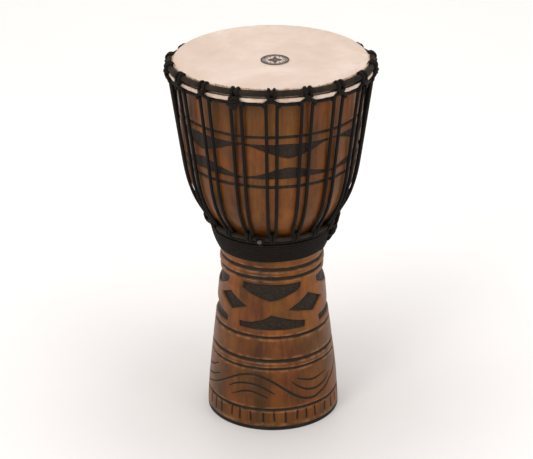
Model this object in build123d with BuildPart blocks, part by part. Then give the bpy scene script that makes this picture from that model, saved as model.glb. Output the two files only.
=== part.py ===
from build123d import *
import os
from math import cos, degrees, hypot, radians, sin

# A rope-tuned djembe, in millimetres. The origin is the centre of the foot on the floor, +Z is up,
# and the front of the drum faces -Y. Angles round the drum are measured from the front towards +X.

# ---- driving dimensions -------------------------------------------------------------------------

HEAD_Z = 608.0  # playing surface above the floor
SKIN_THICKNESS = 1.0
FOOT_RADIUS = 107.6  # outside of the wood at the floor
WAIST_RADIUS = 82.5  # narrowest outside, under the rope winding
RIM_RADIUS = 151.2  # outside of the wood just under the bearing edge
RIM_Z = HEAD_Z - SKIN_THICKNESS

KNOTS = 18  # knots round the crown ring
KNOT_STEP = 360 / KNOTS
LEG_ANGLE = 3.0  # each knot's two rope legs stand this many degrees to its sides

RING_TILT = 0.0458  # the pulled-down rings slope towards the back: rise per unit towards the front
CROWN_Z = 604.45  # centre of the crown ring, on the drum's axis
CROWN_RADIUS = 160.6
CROWN_ROD = 3.0  # radius of the steel rod
CROWN_WRAP = 3.6  # outer radius of the cloth tape on the rod
FLESH_RADIUS = 156.4
FLESH_DROP = 11.8  # flesh ring below the crown ring
FLESH_ROD = 2.5
FLESH_WRAP = 4.3  # outer radius of the skin folded round the flesh ring
COLLAR_RADIUS = 152.4  # outside of the skin where it goes down over the rim
COLLAR_BEND = 3.5  # rounding of the skin over the rim
COLLAR_LOW = 580.0  # the collar is drawn down to here before the rings' plane cuts it
EDGE_RADIUS = 146.5  # top of the wood's rounded bearing edge
ROD_GAP = 0.3  # between the flesh ring's rod and the skin folded round it

ROPE = 2.2  # radius of the long vertical rope
LOOP_CORD = 2.0  # radius of the crown loops' cord
FOOT_CORD = 1.5  # radius of the bottom loops' cord
TOP_RUN_RADIUS = 160.2  # the long rope's level run under each stretch of skin
TOP_RUN_DROP = 17.3

BOTTOM_RING_RADIUS = 102.2
BOTTOM_RING_Z = 341.0
BOTTOM_RING_ROD = 3.3
TURN_RADIUS = 105.0  # the long rope's turn just above the bottom ring
TURN_Z = 347.0

TYRE_HEIGHT = 6.5  # rubber ring under the foot
TYRE_FLOOR = 3.0
TYRE_LIP = 2.4
TYRE_INNER = 94.0

WINDING_TURNS = 9
WINDING_LOW = (85.7, 292.4)  # radius and height of the lowest turn
WINDING_HIGH = (99.2, 327.6)
WINDING_BACK = (83.3, 92.0)  # inner radius of the coil at its bottom and at its top

# Outside of the foot, radius and height, from the floor up to the waist.
FOOT_OUTSIDE = [
    (FOOT_RADIUS, TYRE_HEIGHT),
    (106.4, 33),
    (102.4, 80),
    (95.2, 145),
    (91.8, 174),
    (87.6, 215),
    (84.2, 255),
    (WAIST_RADIUS, 290),
]

# Outside of the bowl, radius and height, from the waist up to the rim.
BOWL_OUTSIDE = [
    (WAIST_RADIUS, 290),
    (88.0, 320),
    (95.5, 345),
    (109.3, 362),
    (120.3, 381),
    (130.3, 408),
    (137.2, 446),
    (143.8, 501),
    (148.2, 559),
    (RIM_RADIUS, 600),
]

# Inside of the bowl, radius and height, from the rim down to the throat.
BOWL_INSIDE = [
    (142.0, 597),
    (138.5, 555),
    (132.5, 495),
    (121.5, 430),
    (103.0, 386),
    (79.0, 348),
    (66.0, 300),
]
THROAT_END = (66.0, 262)
FOOT_INSIDE = [(72.0, 200), (82.0, 100), (92.0, TYRE_FLOOR)]

# Each turned groove's lower edge, upper edge and depth.
GROOVES = [
    (33.2, 38.8, 2.0),
    (105.2, 109.5, 2.0),
    (118.1, 124.3, 2.2),
    (158.9, 164.3, 2.4),
    (258.9, 266.0, 2.6),
    (274.6, 280.8, 2.4),
]

# The carved band round the foot: crosses stand proud between sunken fields.
PANEL_LOW = 173.5
PANEL_HIGH = 251.6
PANEL_REPEATS = 4
PANEL_DEPTH = 3.5
UPPER_FIELD = [(-35, PANEL_HIGH), (-35, 241), (0, 222), (35, 241), (35, PANEL_HIGH)]
LOWER_FIELD = [(-38, PANEL_LOW), (-38, 185), (0, 201), (38, 185), (38, PANEL_LOW)]
DIAMOND_FIELD = [(-22, 209), (-4, 229), (22, 212), (4, 197)]

# The long rope's corners down one leg, radius and height, between the crown and the bottom ring.
LEG_CORNERS = [(140.8, 449), (137.1, 425), (131.1, 400), (122.8, 379), (112.5, 361)]
LEG_BENDS = [90.0, 60.0, 60.0, 45.0, 20.0]
TOP_RUN_BENDS = [4.5, 60.0, 4.5]
TURN_BEND = 3.2

TIE_OFF_KNOT = 4  # the long rope's two ends are tied off below this knot
TIE_OFF_ROUTE = [(80, 114.5, 358), (84, 113.8, 345), (87, 109.0, 328), (86, 104.0, 312), (81, 98.5, 303)]
TIE_OFF_BENDS = [14.0, 20.0, 12.0]

STOPPER_ANGLE = -11.5
STOPPER_RADIUS = 107.5  # the knot's centre, from the drum's axis
STOPPER_Z = 331.5
STOPPER_SIZE = 5.2
STOPPER_TAIL = (97.0, 332.2, 9.0)  # start radius, height and length of the cord behind the knot

END_KNOT = 17  # the crown cord's end hangs as a wrapped knot at this knot
END_KNOT_RADIUS = 167.0  # the wrapped knot's centre, from the rings' axis
END_KNOT_DROP = 7.0
END_KNOT_HALF_WIDTHS = (7.5, 6.0)
END_KNOT_LENGTH = 26.0

RING_PLANE = Plane(origin=(0, 0, CROWN_Z), x_dir=(1, 0, 0), z_dir=(0, RING_TILT, 1))


def round_drum(angle, radius, height):
    """A point on the drum, from its angle, radius and height above the floor."""
    return Vector(radius * sin(radians(angle)), -radius * cos(radians(angle)), height)


def on_rings(angle, radius, height):
    """The same in the rings' own sloping plane, with the height from the crown ring's centre."""
    return RING_PLANE.from_local_coords(round_drum(angle, radius, height))


def aside(angle, distance, radius):
    """The angle of a point that lies a distance along the circle from the given angle."""
    return angle + degrees(distance / radius)


def rope_along(points, bends, radius):
    """A round rope through the corner points, each corner rounded to its own radius."""
    with BuildPart() as rope:
        with BuildLine() as path:
            FilletPolyline(*points, radius=bends)
        with BuildSketch(Plane(origin=path.line @ 0, z_dir=path.line % 0)):
            Circle(radius)
        sweep(path=path.line)
    return rope


def closed_rope(route, radius):
    """A round rope along a closed route, made as two halves that join end to end."""
    edges = route.order_edges()
    middle = len(edges) // 2
    with BuildPart() as rope:
        for half in (Wire(edges[:middle]), Wire(edges[middle:])):
            with BuildSketch(Plane(origin=half @ 0, z_dir=half % 0)):
                Circle(radius)
            sweep(path=half)
    return rope


def torus_in(plane, ring_radius, tube_radius):
    """A solid ring of round section in the given plane."""
    with BuildPart(plane) as ring:
        Torus(ring_radius, tube_radius)
    return ring


def save(piece, name):
    piece.part.label = name
    export_step(piece.part, f"parts/{name}.step")


# ---- shell and foot -----------------------------------------------------------------------------


def foot_radius_at(height):
    """Outside radius of the foot at a height, between the points of its outline."""
    for (low_radius, low), (high_radius, high) in zip(FOOT_OUTSIDE, FOOT_OUTSIDE[1:]):
        if height <= high:
            return low_radius + (high_radius - low_radius) * (height - low) / (high - low)
    return WAIST_RADIUS


def make_turned_shell():
    """The goblet as it comes off the lathe, with its turned grooves."""
    with BuildPart() as turned:
        with BuildSketch(Plane.XZ):
            with BuildLine():
                Spline(*FOOT_OUTSIDE)
                Spline(*BOWL_OUTSIDE)
                Line(BOWL_OUTSIDE[-1], (RIM_RADIUS, RIM_Z - 5))
                ThreePointArc((RIM_RADIUS, RIM_Z - 5), (149.8, RIM_Z - 1.4), (EDGE_RADIUS, RIM_Z))
                Line((EDGE_RADIUS, RIM_Z), BOWL_INSIDE[0])
                Spline(*BOWL_INSIDE)
                Line(BOWL_INSIDE[-1], THROAT_END)
                Spline(THROAT_END, *FOOT_INSIDE)
                Line(FOOT_INSIDE[-1], (FOOT_RADIUS - TYRE_LIP, TYRE_FLOOR))
                Line((FOOT_RADIUS - TYRE_LIP, TYRE_FLOOR), (FOOT_RADIUS - TYRE_LIP, TYRE_HEIGHT))
                Line((FOOT_RADIUS - TYRE_LIP, TYRE_HEIGHT), FOOT_OUTSIDE[0])
            make_face()
        revolve(axis=Axis.Z)
        for low, high, depth in GROOVES:
            floor = foot_radius_at((low + high) / 2) - depth
            with BuildSketch(Plane.XZ):
                with BuildLine():
                    Polyline(
                        (floor, low),
                        (FOOT_RADIUS + 1, low),
                        (FOOT_RADIUS + 1, high),
                        (floor, high),
                        close=True,
                    )
                make_face()
            revolve(axis=Axis.Z, mode=Mode.SUBTRACT)
    return turned


def make_panel_layer():
    """The layer of wood, as thick as the carving is deep, that the foot's fields are cut from."""
    with BuildPart() as layer:
        with BuildSketch(Plane.XZ):
            with BuildLine():
                Polyline(
                    (foot_radius_at(PANEL_LOW) - PANEL_DEPTH, PANEL_LOW),
                    (foot_radius_at(PANEL_HIGH) - PANEL_DEPTH, PANEL_HIGH),
                    (FOOT_RADIUS, PANEL_HIGH),
                    (FOOT_RADIUS, PANEL_LOW),
                    close=True,
                )
            make_face()
        revolve(axis=Axis.Z)
    return layer


def make_field(outline, angle):
    """The block that sinks one field, straight in towards the drum's axis."""
    radius = foot_radius_at((PANEL_LOW + PANEL_HIGH) / 2)
    outward = round_drum(angle, 1, 0)
    across = round_drum(angle + 90, 1, 0)
    with BuildPart() as field:
        with BuildSketch(Plane(origin=(0, 0, 0), x_dir=across, z_dir=outward)):
            with BuildLine():
                Polyline(*[(radius * sin(radians(turn)), height) for turn, height in outline], close=True)
            make_face()
        extrude(amount=FOOT_RADIUS)
    return field.part


def make_shell():
    with BuildPart() as fields:
        for repeat in range(PANEL_REPEATS):
            angle = repeat * 360 / PANEL_REPEATS
            add(make_field(UPPER_FIELD, angle))
            add(make_field(LOWER_FIELD, angle))
            add(make_field(DIAMOND_FIELD, angle + 180 / PANEL_REPEATS))
        add(make_panel_layer().part, mode=Mode.INTERSECT)
    with BuildPart() as shell:
        add(make_turned_shell().part)
        add(fields.part, mode=Mode.SUBTRACT)
    return shell


def make_foot_tyre():
    """Rubber ring of L section: the wood stands on its floor and its lip goes round the outside."""
    with BuildPart() as tyre:
        with BuildSketch(Plane.XZ):
            with BuildLine():
                Polyline(
                    (TYRE_INNER, 0),
                    (FOOT_RADIUS, 0),
                    (FOOT_RADIUS, TYRE_HEIGHT),
                    (FOOT_RADIUS - TYRE_LIP, TYRE_HEIGHT),
                    (FOOT_RADIUS - TYRE_LIP, TYRE_FLOOR),
                    (TYRE_INNER, TYRE_FLOOR),
                    close=True,
                )
            make_face()
        revolve(axis=Axis.Z)
    return tyre


# ---- head and rings -----------------------------------------------------------------------------


def make_head():
    """Goatskin: flat over the rim, down its outside, and folded round the flesh ring."""
    with BuildPart() as head:
        with BuildSketch(Plane.XZ):
            with BuildLine():
                Polyline(
                    (0, HEAD_Z - SKIN_THICKNESS),
                    (0, HEAD_Z),
                    (COLLAR_RADIUS - COLLAR_BEND, HEAD_Z),
                )
                RadiusArc(
                    (COLLAR_RADIUS - COLLAR_BEND, HEAD_Z),
                    (COLLAR_RADIUS, HEAD_Z - COLLAR_BEND),
                    COLLAR_BEND,
                )
                Polyline(
                    (COLLAR_RADIUS, HEAD_Z - COLLAR_BEND),
                    (COLLAR_RADIUS, COLLAR_LOW),
                    (150.25, COLLAR_LOW),
                    (RIM_RADIUS + 0.15, 600),
                    (RIM_RADIUS + 0.15, RIM_Z - 4.8),
                )
                ThreePointArc(
                    (RIM_RADIUS + 0.15, RIM_Z - 4.8),
                    (150.0, RIM_Z - 1.2),
                    (EDGE_RADIUS, RIM_Z),
                )
                Line((EDGE_RADIUS, RIM_Z), (0, RIM_Z))
            make_face()
        revolve(axis=Axis.Z)
        split(bisect_by=RING_PLANE.offset(-FLESH_DROP - 1), keep=Keep.TOP)
        add(torus_in(RING_PLANE.offset(-FLESH_DROP), FLESH_RADIUS, FLESH_WRAP).part)
        add(
            torus_in(RING_PLANE.offset(-FLESH_DROP), FLESH_RADIUS, FLESH_ROD + ROD_GAP).part,
            mode=Mode.SUBTRACT,
        )
    return head


def make_crown_wrap():
    with BuildPart() as wrap:
        add(torus_in(RING_PLANE, CROWN_RADIUS, CROWN_WRAP).part)
        add(torus_in(RING_PLANE, CROWN_RADIUS, CROWN_ROD).part, mode=Mode.SUBTRACT)
    return wrap


# ---- crown loops --------------------------------------------------------------------------------

WRAP_ASIDE = 4.5  # each loop's two turns over the crown ring stand this far to the sides
HOOK_ASIDE = 13.2  # and its lower ends pass under the long rope this far out
HOOK_DROP = TOP_RUN_DROP + ROPE + LOOP_CORD + 0.4
HOOK_FRONT = TOP_RUN_RADIUS + 5.0
HOOK_BACK = TOP_RUN_RADIUS - 5.2
CROSS_INNER = FLESH_RADIUS + FLESH_WRAP + LOOP_CORD + 0.3
CROSS_OUTER = CROSS_INNER + 2 * LOOP_CORD + 0.3
TURN_CORNER = (CROWN_WRAP + LOOP_CORD + 0.15) / cos(radians(30))
NIP = (-2.0, -5.85)  # where the cord passes between the two rings, from the crown ring's centre


def crown_loop_route():
    """One loop's closed route, flat in the rings' plane at the front: the long rope, then the ring."""
    turn = [
        (TURN_CORNER * cos(radians(around)), TURN_CORNER * sin(radians(around)))
        for around in (-20, 40, 95, 150, 210)
    ]
    turn.append(NIP)
    places = [(-HOOK_ASIDE, HOOK_BACK, -HOOK_DROP), (-HOOK_ASIDE, HOOK_FRONT, -HOOK_DROP)]
    places.append((0, CROSS_INNER, -FLESH_DROP))
    places += [(WRAP_ASIDE, CROWN_RADIUS + out, up) for out, up in turn]
    places += [(-WRAP_ASIDE, CROWN_RADIUS + out, up) for out, up in reversed(turn)]
    places.append((0, CROSS_OUTER, -FLESH_DROP))
    places += [(HOOK_ASIDE, HOOK_FRONT, -HOOK_DROP), (HOOK_ASIDE, HOOK_BACK, -HOOK_DROP)]
    return [round_drum(aside(0, along, CROWN_RADIUS), radius, up) for along, radius, up in places]


HALF_LOOP_BENDS = [2.6, 3.0, 6.0, 4.0, 5.0, 5.0, 5.0, 3.4, 2.3]
CROWN_LOOP_BENDS = HALF_LOOP_BENDS + HALF_LOOP_BENDS[::-1]


def make_flat_crown_loop():
    with BuildLine() as path:
        FilletPolyline(*crown_loop_route(), radius=CROWN_LOOP_BENDS, close=True)
    return closed_rope(path.wire(), LOOP_CORD)


def placed_on_rings(piece, angle):
    """The same piece, turned about the rings' axis and set into their sloping plane."""
    with BuildPart() as placed:
        add(piece.part.moved(RING_PLANE.location * Location((0, 0, 0), (0, 0, angle))))
    return placed


def make_end_knot(angle):
    """The wrapped knot that the crown cord ends in, hanging in front of the rings."""
    top = on_rings(angle, END_KNOT_RADIUS, -END_KNOT_DROP)
    across = round_drum(angle + 90, 1, 0)
    with BuildPart() as knot:
        with BuildSketch(Plane(origin=top, x_dir=across, z_dir=(0, 0, -1))):
            Ellipse(*END_KNOT_HALF_WIDTHS)
        extrude(amount=END_KNOT_LENGTH)
        fillet(knot.faces().sort_by(Axis.Z)[0].edges(), 4.5)
        fillet(knot.faces().sort_by(Axis.Z)[-1].edges(), 2.0)
    return knot


# ---- long rope, bottom ring and tie-off ---------------------------------------------------------


def leg_down(angle):
    """The corners of one leg, from the top run to just above the bottom turn."""
    return [round_drum(angle, radius, height) for radius, height in LEG_CORNERS]


def long_rope_route():
    """The rope's corners: up a leg, along under the skin, down a leg, and round the next turn."""
    points = []
    bends = []
    for step in range(KNOTS):
        knot_angle = (TIE_OFF_KNOT + step) * KNOT_STEP
        up = knot_angle + LEG_ANGLE
        down = knot_angle + KNOT_STEP - LEG_ANGLE
        points.append(round_drum(up, TURN_RADIUS, TURN_Z))
        points += reversed(leg_down(up))
        points.append(on_rings(up, TOP_RUN_RADIUS, -TOP_RUN_DROP))
        points.append(on_rings((up + down) / 2, TOP_RUN_RADIUS, -TOP_RUN_DROP))
        points.append(on_rings(down, TOP_RUN_RADIUS, -TOP_RUN_DROP))
        points += leg_down(down)
        points.append(round_drum(down, TURN_RADIUS, TURN_Z))
        bends += [TURN_BEND] + LEG_BENDS[::-1] + TOP_RUN_BENDS + LEG_BENDS + [TURN_BEND]
    return points, bends


def make_long_rope():
    points, bends = long_rope_route()
    return rope_along(points, bends[1:-1], ROPE)


def make_front_bottom_loop():
    """A belt of cord round the bottom ring and over the long rope's turn, at the front."""
    lean_out = TURN_RADIUS - BOTTOM_RING_RADIUS
    lean_up = TURN_Z - BOTTOM_RING_Z
    length = hypot(lean_out, lean_up)
    lean_out /= length
    lean_up /= length
    under = BOTTOM_RING_ROD + FOOT_CORD + 0.15
    over = ROPE + FOOT_CORD + 0.1
    corners = []
    for up, out in [(-under, -under), (-under, under), (length + over, under), (length + over, -under)]:
        radius = BOTTOM_RING_RADIUS + up * lean_out + out * lean_up
        height = BOTTOM_RING_Z + up * lean_up - out * lean_out
        corners.append(round_drum(0, radius, height))
    with BuildLine() as path:
        FilletPolyline(*corners, radius=[under - 0.1, under - 0.1, over, over], close=True)
    return closed_rope(path.wire(), FOOT_CORD)


def turned_about_drum(piece, angle):
    """The same piece, turned about the drum's axis."""
    with BuildPart() as turned:
        add(piece.part, rotation=(0, 0, angle))
    return turned


def make_waist_winding():
    """The rope's spare length, wound round the waist: the outer shape of its turns, as one solid."""
    steps = WINDING_TURNS - 1
    rise = (WINDING_HIGH[1] - WINDING_LOW[1]) / steps
    spread = (WINDING_HIGH[0] - WINDING_LOW[0]) / steps
    with BuildPart() as winding:
        with BuildSketch(Plane.XZ):
            with BuildLine():
                Polyline(
                    (WINDING_HIGH[0], WINDING_HIGH[1] + ROPE),
                    (WINDING_BACK[1], WINDING_HIGH[1] + ROPE),
                    (WINDING_BACK[0], WINDING_LOW[1] - ROPE),
                    (WINDING_LOW[0], WINDING_LOW[1] - ROPE),
                    (WINDING_HIGH[0], WINDING_HIGH[1]),
                    close=True,
                )
            make_face()
            for turn in range(WINDING_TURNS):
                with Locations((WINDING_LOW[0] + spread * turn, WINDING_LOW[1] + rise * turn)):
                    Circle(ROPE)
        revolve(axis=Axis.Z)
    return winding


def make_stopper_knot():
    """The knotted, sealed end of the bottom cord, resting on top of the winding."""
    tail_radius, tail_z, tail_length = STOPPER_TAIL
    tail_start = round_drum(STOPPER_ANGLE, tail_radius, tail_z)
    with BuildPart() as knot:
        with Locations(round_drum(STOPPER_ANGLE, STOPPER_RADIUS, STOPPER_Z)):
            Sphere(STOPPER_SIZE)
        with BuildSketch(Plane(origin=tail_start, z_dir=round_drum(STOPPER_ANGLE, 1, 0))):
            Circle(FOOT_CORD)
        extrude(amount=tail_length)
    return knot


def make_tie_off():
    """The rope's end, brought down over the bottom ring and hitched beside the winding."""
    points = [round_drum(angle, radius, height) for angle, radius, height in TIE_OFF_ROUTE]
    return rope_along(points, TIE_OFF_BENDS, ROPE)


# ---- the whole drum -----------------------------------------------------------------------------


def main():
    os.makedirs("parts", exist_ok=True)
    save(make_shell(), "shell")
    save(make_foot_tyre(), "foot_tyre")
    save(make_head(), "goatskin_head")
    save(torus_in(RING_PLANE.offset(-FLESH_DROP), FLESH_RADIUS, FLESH_ROD), "flesh_ring")
    save(torus_in(RING_PLANE, CROWN_RADIUS, CROWN_ROD), "crown_ring")
    save(make_crown_wrap(), "crown_ring_wrap")
    flat_loop = make_flat_crown_loop()
    for knot in range(KNOTS):
        loop = placed_on_rings(flat_loop, knot * KNOT_STEP)
        if knot == END_KNOT:
            with BuildPart() as knotted:
                add(loop.part)
                add(make_end_knot(knot * KNOT_STEP).part)
            loop = knotted
        save(loop, f"crown_loop_{knot + 1:02d}")
    save(make_long_rope(), "long_rope")
    bottom_plane = Plane.XY.offset(BOTTOM_RING_Z)
    save(torus_in(bottom_plane, BOTTOM_RING_RADIUS, BOTTOM_RING_ROD), "bottom_ring")
    front_loop = make_front_bottom_loop()
    for knot in range(KNOTS):
        save(turned_about_drum(front_loop, knot * KNOT_STEP), f"bottom_loop_{knot + 1:02d}")
    save(make_waist_winding(), "waist_winding")
    save(make_stopper_knot(), "stopper_knot")
    save(make_tie_off(), "tie_off_end")


main()
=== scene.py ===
import random
from math import atan2, cos, degrees, pi, radians, sin

import bpy
import numpy as np
from mathutils import Matrix, Vector


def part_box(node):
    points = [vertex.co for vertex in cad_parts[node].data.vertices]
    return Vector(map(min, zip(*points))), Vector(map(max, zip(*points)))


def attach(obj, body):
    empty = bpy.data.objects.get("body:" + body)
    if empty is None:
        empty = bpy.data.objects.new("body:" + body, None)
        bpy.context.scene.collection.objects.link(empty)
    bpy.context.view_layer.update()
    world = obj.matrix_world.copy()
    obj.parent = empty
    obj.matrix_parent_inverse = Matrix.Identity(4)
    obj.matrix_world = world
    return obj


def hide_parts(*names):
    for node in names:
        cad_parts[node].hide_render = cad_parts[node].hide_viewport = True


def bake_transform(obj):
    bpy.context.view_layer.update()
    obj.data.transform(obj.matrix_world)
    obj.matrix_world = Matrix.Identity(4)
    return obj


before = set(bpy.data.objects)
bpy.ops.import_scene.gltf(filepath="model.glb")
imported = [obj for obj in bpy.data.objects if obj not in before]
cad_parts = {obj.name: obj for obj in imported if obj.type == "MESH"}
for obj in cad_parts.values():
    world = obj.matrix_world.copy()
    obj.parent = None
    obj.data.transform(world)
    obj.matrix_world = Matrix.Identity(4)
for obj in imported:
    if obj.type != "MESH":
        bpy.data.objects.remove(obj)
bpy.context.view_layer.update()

# Lengths are in metres. Angles round the drum are in degrees, from the front (-Y) towards +X.
MM = 0.001
KNOTS = 18
KNOT_STEP = 360 / KNOTS
LEG_ANGLE = 3.0
RING_TILT = 0.0458
HEAD_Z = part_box("shell")[1][2] + 0.001
CROWN_Z = 0.60445
TAPE_DROP = 0.0010
CROWN_RADIUS = 0.1606
CROWN_WRAP = 0.0046
CROWN_ROD = 0.0030
FLESH_RADIUS = 0.1574
FLESH_DROP = 0.0118
FLESH_WRAP = 0.0043
FLESH_ROD = 0.0025
COLLAR_RADIUS = 0.1546
RIM_BEND = 0.0026
HIDE_THICKNESS = 0.0009
TRIM_THICKNESS = 0.0008
ROPE = 0.0026
LOOP_CORD = 0.0026
TOP_RUN_RADIUS = 0.1602
TOP_RUN_DROP = 0.0190
BOTTOM_RING_RADIUS = 0.1022
BOTTOM_RING_Z = 0.341
BOTTOM_WRAP = 0.0040
BOTTOM_CORD = 0.0022
STOPPER_CORD = 0.0019
TURN_RADIUS = 0.105
TURN_Z = 0.347
END_KNOT = 17
TIE_OFF_KNOT = 4
TAPE_LAY = 0.0062
BACK_SAG = 0.0058
SAG_START = 84
SAG_SPAN = 36

TILT = Matrix.Rotation(-atan2(RING_TILT, 1), 4, "X")


def round_drum(angle, radius, height):
    return Vector((radius * sin(radians(angle)), -radius * cos(radians(angle)), height))


def turn_from(centre, angle):
    """Degrees from one direction to another, between -180 and 180."""
    return (angle - centre + 180) % 360 - 180


def on_rings(angle, radius, height):
    """A point in the rings' sloping plane, with the height counted from the crown ring's centre.

    Behind the drum the hand-pulled rings sag a little below that plane."""
    back = min(max((abs(turn_from(0, angle)) - SAG_START) / SAG_SPAN, 0), 1)
    sag = BACK_SAG * back * back * (3 - 2 * back)
    return TILT @ round_drum(angle, radius, height) + Vector((0, 0, CROWN_Z - sag))


def aside(angle, distance, radius=CROWN_RADIUS):
    return angle + degrees(distance / radius)


# ---- camera, light and floor --------------------------------------------------------------------


CAMERA_PLACE = (-0.00898, -3.6452, 1.981)
CAMERA_PITCH = 65.395
CAMERA_ROLL = -0.43
FLOOR_FRONT = -4.0
FLOOR_BACK = 3.0
FLOOR_SIDE = 6.0
SWEEP_RADIUS = 1.5


def make_camera():
    data = bpy.data.cameras.new("camera")
    data.lens = 167.07
    data.sensor_width = 36
    data.clip_end = 50
    camera = bpy.data.objects.new("camera", data)
    bpy.context.collection.objects.link(camera)
    look = Matrix.Rotation(radians(CAMERA_PITCH), 4, "X") @ Matrix.Rotation(radians(CAMERA_ROLL), 4, "Z")
    camera.matrix_world = Matrix.Translation(CAMERA_PLACE) @ look
    bpy.context.scene.camera = camera


def make_area(name, place, target, size, power, colour=(1, 1, 1)):
    data = bpy.data.lights.new(name, "AREA")
    data.shape = "RECTANGLE"
    data.size, data.size_y = size
    data.energy = power
    data.color = colour
    light = bpy.data.objects.new(name, data)
    bpy.context.collection.objects.link(light)
    light.location = place
    light.rotation_euler = (Vector(target) - Vector(place)).to_track_quat("-Z", "Y").to_euler()


def make_studio():
    scene = bpy.context.scene
    scene.view_settings.view_transform = "Standard"
    scene.view_settings.look = "None"
    world = bpy.data.worlds.new("studio")
    scene.world = world
    world.use_nodes = True
    background = world.node_tree.nodes["Background"]
    background.inputs["Color"].default_value = (1.0, 0.995, 0.985, 1)
    background.inputs["Strength"].default_value = 0.78
    make_area("key", (-1.5, -2.2, 2.1), (0, 0, 0.35), (1.0, 1.6), 27, (1.0, 0.98, 0.96))
    make_area("fill", (1.9, -1.6, 1.3), (0, 0, 0.3), (0.9, 1.6), 9)
    make_area("top", (0, 0.2, 2.4), (0, 0, 0.3), (1.6, 1.6), 11)


def make_floor():
    """A floor that sweeps up behind the drum, far away."""
    mesh = bpy.data.meshes.new("floor")
    rows = [(FLOOR_FRONT, 0.0), (FLOOR_BACK, 0.0)]
    for a in np.linspace(0.1, pi / 2, 12):
        rows.append((FLOOR_BACK + SWEEP_RADIUS * sin(a), SWEEP_RADIUS - SWEEP_RADIUS * cos(a)))
    rows.append((FLOOR_BACK + SWEEP_RADIUS, FLOOR_SIDE))
    verts = [(x, y, z) for y, z in rows for x in (-FLOOR_SIDE, FLOOR_SIDE)]
    faces = [(2 * i, 2 * i + 1, 2 * i + 3, 2 * i + 2) for i in range(len(rows) - 1)]
    mesh.from_pydata(verts, [], faces)
    mesh.materials.append(floor_material())
    floor = bpy.data.objects.new("floor", mesh)
    bpy.context.collection.objects.link(floor)


# ---- material helpers ---------------------------------------------------------------------------


class Nodes:
    """A short way to build one material's nodes."""

    def __init__(self, name):
        self.material = bpy.data.materials.new(name)
        self.material.use_nodes = True
        self.tree = self.material.node_tree
        self.shader = self.tree.nodes["Principled BSDF"]
        self.place = self.add("ShaderNodeTexCoord").outputs["Object"]

    def add(self, kind, **values):
        node = self.tree.nodes.new(kind)
        for key, value in values.items():
            setattr(node, key, value)
        return node

    def link(self, source, target):
        if isinstance(source, (int, float)):
            target.default_value = source
        elif isinstance(source, tuple):
            target.default_value = source if len(target.default_value) == len(source) else (*source, 1)
        else:
            self.tree.links.new(source, target)

    def scaled(self, scale, source=None):
        node = self.add("ShaderNodeMapping")
        node.inputs["Scale"].default_value = scale
        self.link(source or self.place, node.inputs["Vector"])
        return node.outputs["Vector"]

    def noise(self, vector, scale=1.0, detail=3.0, rough=0.5, distortion=0.0):
        node = self.add("ShaderNodeTexNoise")
        self.link(vector, node.inputs["Vector"])
        node.inputs["Scale"].default_value = scale
        node.inputs["Detail"].default_value = detail
        node.inputs["Roughness"].default_value = rough
        node.inputs["Distortion"].default_value = distortion
        return node.outputs["Fac"]

    def ramp(self, source, *stops):
        node = self.add("ShaderNodeValToRGB")
        elements = node.color_ramp.elements
        while len(elements) < len(stops):
            elements.new(0.5)
        for element, (position, colour) in zip(elements, stops):
            element.position = position
            colour = colour if isinstance(colour, tuple) else (colour, colour, colour)
            element.color = (*colour, 1)
        self.link(source, node.inputs["Fac"])
        return node.outputs["Color"]

    def math(self, operation, a, b=0.0, clamp=False):
        node = self.add("ShaderNodeMath", operation=operation, use_clamp=clamp)
        self.link(a, node.inputs[0])
        self.link(b, node.inputs[1])
        return node.outputs[0]

    def mix(self, share, a, b, blend="MIX"):
        node = self.add("ShaderNodeMix", data_type="RGBA", blend_type=blend)
        self.link(share, node.inputs[0])
        self.link(a, node.inputs[6])
        self.link(b, node.inputs[7])
        return node.outputs[2]

    def attribute(self, name):
        return self.add("ShaderNodeAttribute", attribute_name=name).outputs["Fac"]

    def bump(self, height, strength, distance, under=None):
        node = self.add("ShaderNodeBump")
        node.inputs["Strength"].default_value = strength
        node.inputs["Distance"].default_value = distance
        self.link(height, node.inputs["Height"])
        if under is not None:
            self.link(under, node.inputs["Normal"])
        return node.outputs["Normal"]

    def finish(self, colour=None, rough=None, normal=None, **fixed):
        if colour is not None:
            self.link(colour, self.shader.inputs["Base Color"])
        if rough is not None:
            self.link(rough, self.shader.inputs["Roughness"])
        if normal is not None:
            self.link(normal, self.shader.inputs["Normal"])
        for name, value in fixed.items():
            self.shader.inputs[name.replace("_", " ")].default_value = value
        return self.material


def floor_material():
    n = Nodes("pale_floor")
    tone = n.noise(n.place, 3.0, 2.0)
    colour = n.ramp(tone, (0.0, (0.83, 0.80, 0.785)), (1.0, (0.87, 0.84, 0.825)))
    round_base = n.add("ShaderNodeVectorMath", operation="LENGTH")
    n.link(n.place, round_base.inputs[0])
    # Painted light: the floor glows more the farther it is from the drum, leaving a painted shadow round the
    # base.
    painted_floor_glow = n.ramp(round_base.outputs["Value"], (0.24, 0.0), (0.70, 0.20))
    n.link(painted_floor_glow, n.shader.inputs["Emission Strength"])
    return n.finish(colour, 0.5, Emission_Color=(1, 1, 1, 1))


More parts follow.
